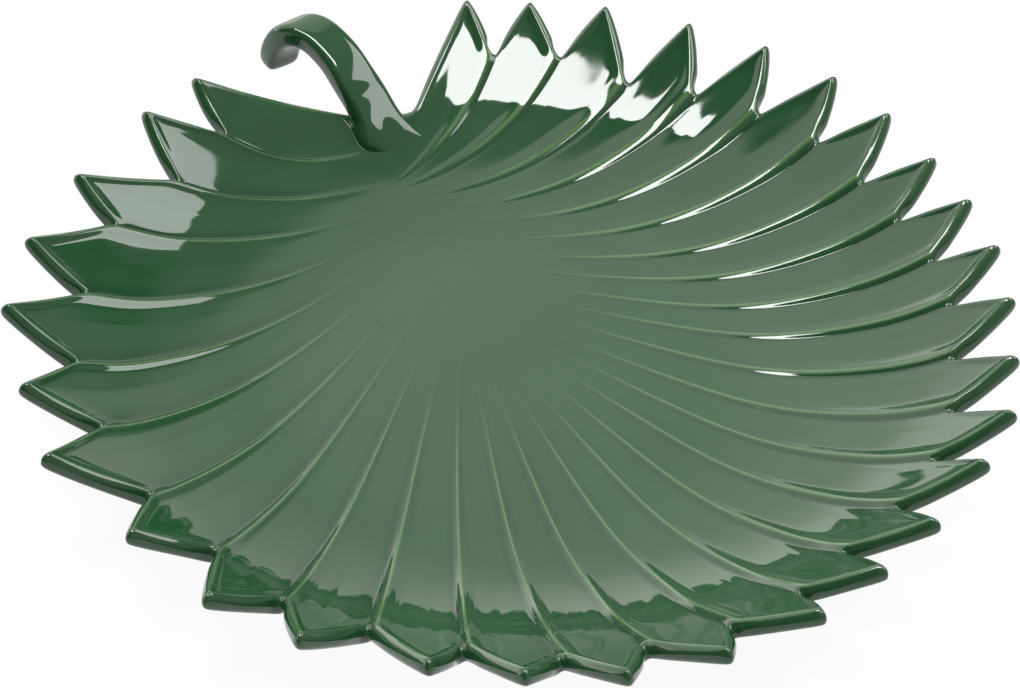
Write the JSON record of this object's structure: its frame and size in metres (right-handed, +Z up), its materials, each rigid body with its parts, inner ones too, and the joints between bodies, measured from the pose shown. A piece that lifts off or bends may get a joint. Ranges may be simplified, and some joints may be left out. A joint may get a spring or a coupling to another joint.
{
  "type": "serving platter",
  "caption": "Round glazed earthenware serving platter moulded as a pleated fan palm leaf, with a pointed leaflet rim, an arched stem handle and a foot ring.",
  "frame": {"origin": "on the table, under the middle of the platter's overall length and width", "axes": "+Z up, +Y towards the stem handle, +X to the right when looking from the front towards the stem"},
  "size_m": [0.3196, 0.3324, 0.0539],
  "materials": {
    "leaf_glaze": "glossy translucent dark green glaze, paler where it thins over crests and edges",
    "stem_glaze": "the same glossy dark green glaze, paler along the strap's edges",
    "bare_clay": "unglazed fired earthenware, matt and pale buff"
  },
  "bodies": {
    "root": {"leaf_dish": "leaf_glaze", "stem_handle": "stem_glaze", "foot_ring": "bare_clay"}
  },
  "joints": []
}
